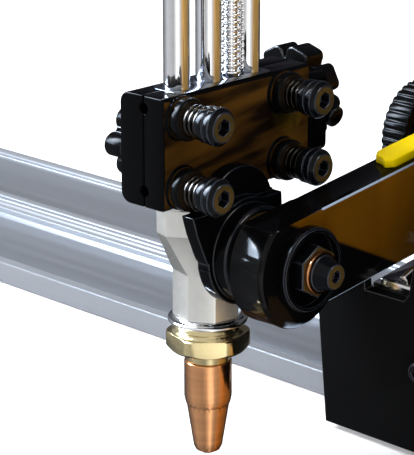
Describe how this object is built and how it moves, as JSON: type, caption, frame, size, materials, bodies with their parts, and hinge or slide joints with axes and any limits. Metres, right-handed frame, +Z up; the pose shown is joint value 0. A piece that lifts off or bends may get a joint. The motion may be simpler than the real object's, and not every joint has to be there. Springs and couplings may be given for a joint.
{
  "type": "track cutting machine",
  "caption": "Gas cutting torch on a geared bevel clamp and cross arm, carried by a motor carriage that rolls along a channelled aluminium rail.",
  "frame": {"origin": "on the centre line of the rail's underside, in the plane across the rail that holds the torch's axis at rest", "axes": "+X along the rail from the torch towards the carriage, +Y across the rail away from the torch, +Z up"},
  "size_m": [0.832, 0.3116, 0.3101],
  "materials": {
    "brushed_aluminium": "extruded, fine lines along its length, natural",
    "black_gloss": "glossy black coating with bright worn edges",
    "black_matt": "matt black powder coating",
    "black_plastic": "moulded black plastic",
    "yellow_plastic": "bright yellow plastic",
    "polished_steel": "polished steel",
    "black_steel": "blackened steel, lightly oiled",
    "grey_casting": "grey painted casting",
    "chrome": "bright chrome plating",
    "satin_nickel": "satin nickel plating",
    "bright_brass": "polished brass",
    "copper": "turned copper, satin, with fine rings",
    "dark_copper": "oxidised copper",
    "bronze": "sintered bronze",
    "bearing_steel": "ground steel",
    "panel_grey": "satin light grey paint",
    "board_green": "green lacquer",
    "red_lens": "clear red plastic lens",
    "red_plastic": "glossy red plastic",
    "blue_plastic": "glossy blue plastic",
    "liner": "natural bearing plastic"
  },
  "bodies": {
    "track": {"rail": "brushed_aluminium", "joiner_pins": "polished_steel"},
    "carriage": {"chassis": "grey_casting", "front_plate": "black_matt", "rear_plate": "black_matt", "body_screws": "black_steel", "housing": "black_gloss", "control_panel": "panel_grey", "power_lamp": "red_lens", "fuse_holder": "black_plastic", "power_inlet": "polished_steel", "carry_handle": "black_plastic", "drive_motor": "grey_casting", "gearbox": "grey_casting", "circuit_board": "board_green", "axle_bearings": "bearing_steel", "arm_guide": "black_gloss", "guide_liners": "liner", "arm_cradle": "satin_nickel"},
    "speed_control": {"speed_knob": "black_plastic"},
    "direction_rocker": {"direction_switch": "black_plastic"},
    "clutch": {"clutch_lever": "red_plastic"},
    "cross_feed": {"feed_knob": "black_plastic", "feed_pinion": "polished_steel"},
    "arm_lock": {"arm_lock_knob": "black_plastic"},
    "drive_wheels": {"drive_wheel_set": "bearing_steel"},
    "idler_wheels": {"idler_wheel_set": "bearing_steel"},
    "output_shaft": {"output_gear": "bronze"},
    "cross_arm": {"arm": "black_gloss", "arm_rack": "polished_steel", "arm_strip": "yellow_plastic", "arm_screws": "polished_steel"},
    "torch_holder": {"bevel_bracket": "black_gloss", "friction_washer": "bronze", "pivot_bolt": "black_steel", "pivot_nut": "black_steel", "pivot_washer": "copper", "pivot_cap": "black_gloss", "front_clamp": "black_gloss", "rear_clamp": "black_gloss", "clamp_screws": "black_steel", "clamp_collars": "black_steel", "disc_springs": "polished_steel", "guide_plate": "satin_nickel", "bracket_screws": "black_steel"},
    "torch_lift": {"lift_knob": "black_plastic", "lift_pinion": "polished_steel"},
    "torch_lock": {"torch_lock_knob": "black_plastic"},
    "torch": {"torch_tubes": "chrome", "torch_rack": "polished_steel", "torch_head": "satin_nickel", "head_ring": "chrome", "nozzle_nut": "bright_brass", "nozzle": "copper", "nozzle_core": "dark_copper", "valve_block": "satin_nickel", "hose_connectors": "bright_brass"},
    "oxygen_tap": {"oxygen_valve": "blue_plastic"},
    "preheat_tap": {"preheat_valve": "blue_plastic"},
    "fuel_tap": {"fuel_valve": "red_plastic"}
  },
  "joints": [
    {"name": "carriage_travel", "type": "slide", "parent": "track", "child": "carriage", "axis": [1, 0, 0], "range_m": [-0.36, 0.24]},
    {"name": "drive_wheels_turn", "type": "hinge", "parent": "carriage", "child": "drive_wheels", "pos_m": [0.1703, 0, 0.0201], "axis": [0, 1, 0], "range_deg": [-1475, 984]},
    {"name": "idler_wheels_turn", "type": "hinge", "parent": "carriage", "child": "idler_wheels", "pos_m": [0.0503, 0, 0.0201], "axis": [0, 1, 0], "range_deg": [-1475, 984]},
    {"name": "output_shaft_turn", "type": "hinge", "parent": "carriage", "child": "output_shaft", "pos_m": [0.1703, 0, 0.0545], "axis": [0, 1, 0], "range_deg": [-537, 805]},
    {"name": "speed_control_turn", "type": "hinge", "parent": "carriage", "child": "speed_control", "pos_m": [0.1088, -0.05071, 0.12864], "axis": [0, -0.8376, 0.5463], "range_deg": [-140, 140]},
    {"name": "direction_rock", "type": "hinge", "parent": "carriage", "child": "direction_rocker", "pos_m": [0.1573, -0.04988, 0.12809], "axis": [1, 0, 0], "range_deg": [-9, 9]},
    {"name": "clutch_turn", "type": "hinge", "parent": "carriage", "child": "clutch", "pos_m": [0.2063, 0, 0.116], "axis": [1, 0, 0], "range_deg": [-60, 0]},
    {"name": "arm_slide", "type": "slide", "parent": "carriage", "child": "cross_arm", "axis": [0, 1, 0], "range_m": [-0.12, 0.008]},
    {"name": "cross_feed_turn", "type": "hinge", "parent": "carriage", "child": "cross_feed", "pos_m": [-0.003, 0.0165, 0.0875], "axis": [1, 0, 0], "range_deg": [-78, 1147]},
    {"name": "arm_lock_turn", "type": "hinge", "parent": "carriage", "child": "arm_lock", "pos_m": [0.004, 0.044, 0.07605], "axis": [1, 0, 0], "range_deg": [-180, 180]},
    {"name": "bevel_tilt", "type": "hinge", "parent": "cross_arm", "child": "torch_holder", "pos_m": [0.036, -0.107, 0.0875], "axis": [1, 0, 0], "range_deg": [-38.3, 51.7]},
    {"name": "torch_lift_slide", "type": "slide", "parent": "torch_holder", "child": "torch", "axis": [0, 0.1167, 0.9932], "range_m": [-0.035, 0.003]},
    {"name": "lift_knob_turn", "type": "hinge", "parent": "torch_holder", "child": "torch_lift", "pos_m": [-0.01505, -0.10245, 0.12623], "axis": [0, 0.9932, -0.1167], "range_deg": [-17, 181]},
    {"name": "torch_lock_turn", "type": "hinge", "parent": "torch_holder", "child": "torch_lock", "pos_m": [-0.02, -0.11804, 0.12384], "axis": [1, 0, 0], "range_deg": [-180, 180]},
    {"name": "oxygen_tap_turn", "type": "hinge", "parent": "torch", "child": "oxygen_tap", "pos_m": [0.02, -0.09958, 0.28096], "axis": [1, 0, 0], "range_deg": [0, 540]},
    {"name": "preheat_tap_turn", "type": "hinge", "parent": "torch", "child": "preheat_tap", "pos_m": [0.02, -0.08428, 0.27916], "axis": [1, 0, 0], "range_deg": [0, 540]},
    {"name": "fuel_tap_turn", "type": "hinge", "parent": "torch", "child": "fuel_tap", "pos_m": [0.02, -0.06521, 0.27692], "axis": [1, 0, 0], "range_deg": [0, 540]}
  ],
  "couplings": [
    {"joint": "drive_wheels_turn", "follows": "carriage_travel", "rad_per_m": 71.429},
    {"joint": "idler_wheels_turn", "follows": "carriage_travel", "rad_per_m": 71.429},
    {"joint": "output_shaft_turn", "follows": "carriage_travel", "rad_per_m": -38.961},
    {"joint": "cross_feed_turn", "follows": "arm_slide", "rad_per_m": -166.67},
    {"joint": "lift_knob_turn", "follows": "torch_lift_slide", "rad_per_m": -89.286}
  ]
}
